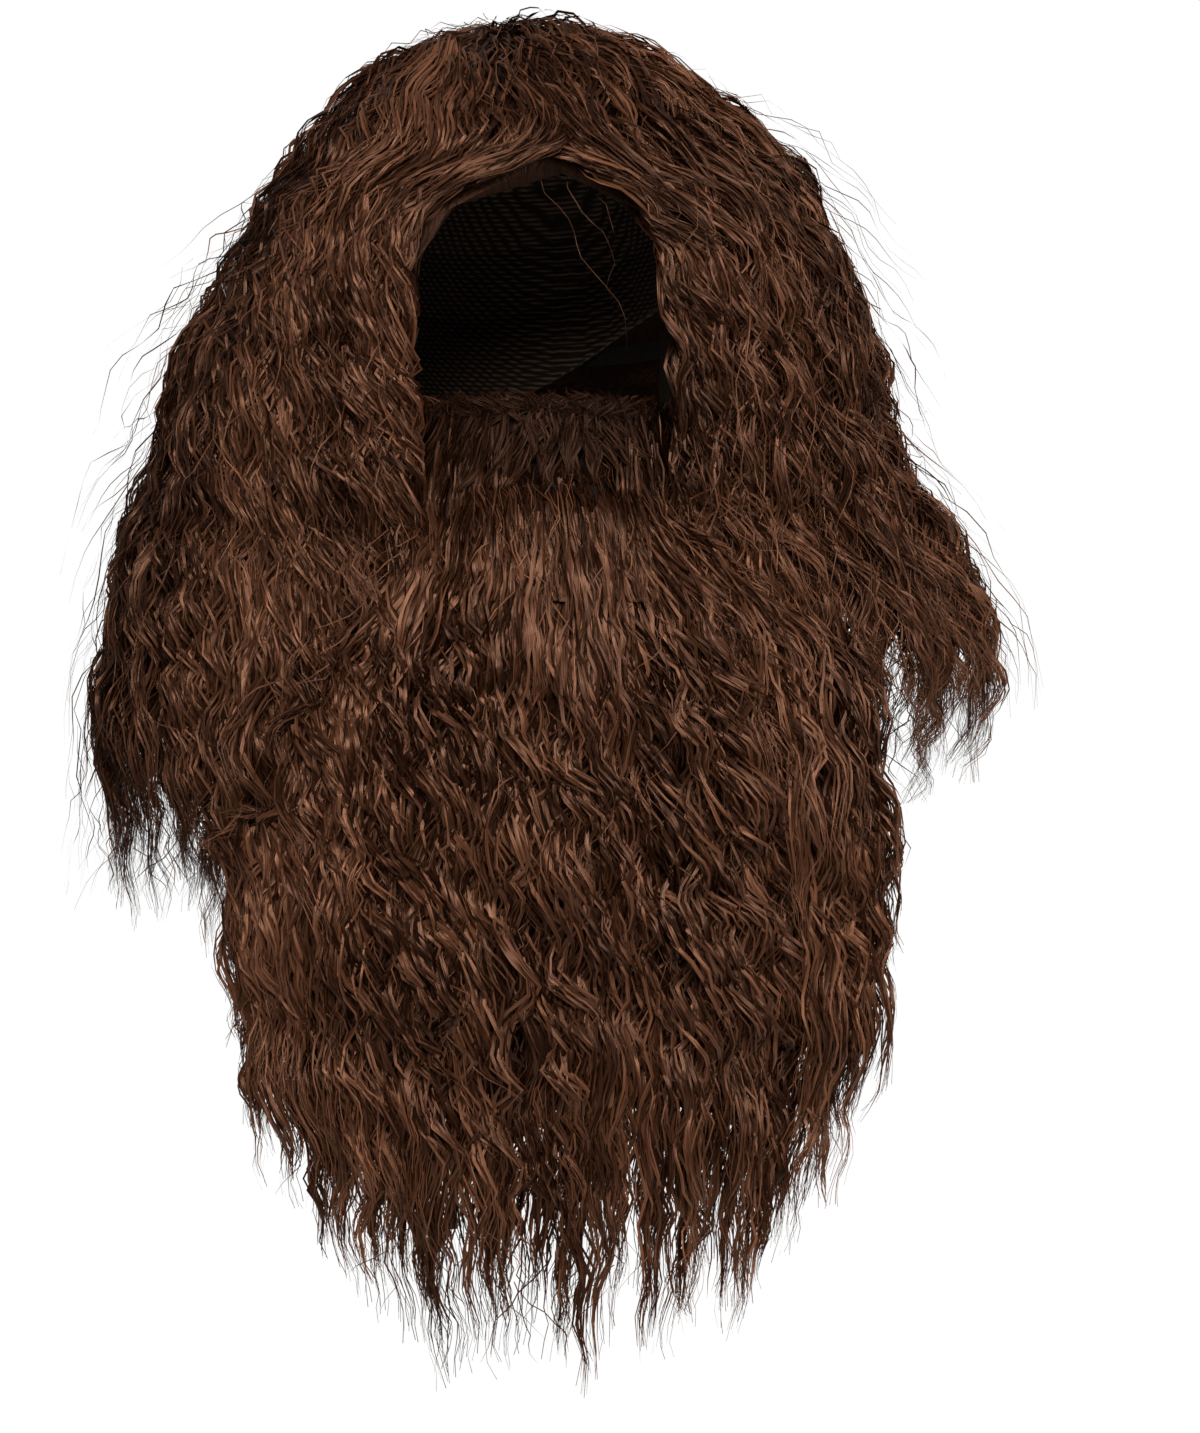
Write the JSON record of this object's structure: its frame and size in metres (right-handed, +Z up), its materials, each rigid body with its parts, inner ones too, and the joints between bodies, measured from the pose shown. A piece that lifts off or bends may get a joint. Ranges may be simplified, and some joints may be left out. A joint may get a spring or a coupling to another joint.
{
  "type": "wig with beard",
  "caption": "Long crimped brown wig on a stretch cap, with a full pointed beard and moustache on a shaped mask with an elastic strap.",
  "frame": {"origin": "head seat: the highest point of the hollow inside the cap, where the crown of a head touches it", "axes": "+Z up, the face opening and the beard look to -Y, +X is the wearer's left"},
  "size_m": [0.4235, 0.2907, 0.6259],
  "materials": {
    "cap_net": "fine dark stretch net with a sewn hem",
    "wig_fibre": "crimped dark brown synthetic fibre with warm highlights",
    "beard_fibre": "crimped warm brown synthetic fibre",
    "moustache_fibre": "short fuzzy dark brown fibre",
    "mask_fabric": "dark knitted fabric",
    "elastic": "flat braided elastic"
  },
  "bodies": {
    "root": {"wig_cap": "cap_net", "crown_hair": "wig_fibre", "side_hair_right": "wig_fibre", "side_hair_left": "wig_fibre", "back_hair": "wig_fibre", "beard_base": "mask_fabric", "beard_hair": "beard_fibre", "moustache": "moustache_fibre", "beard_strap": "elastic"}
  },
  "joints": []
}
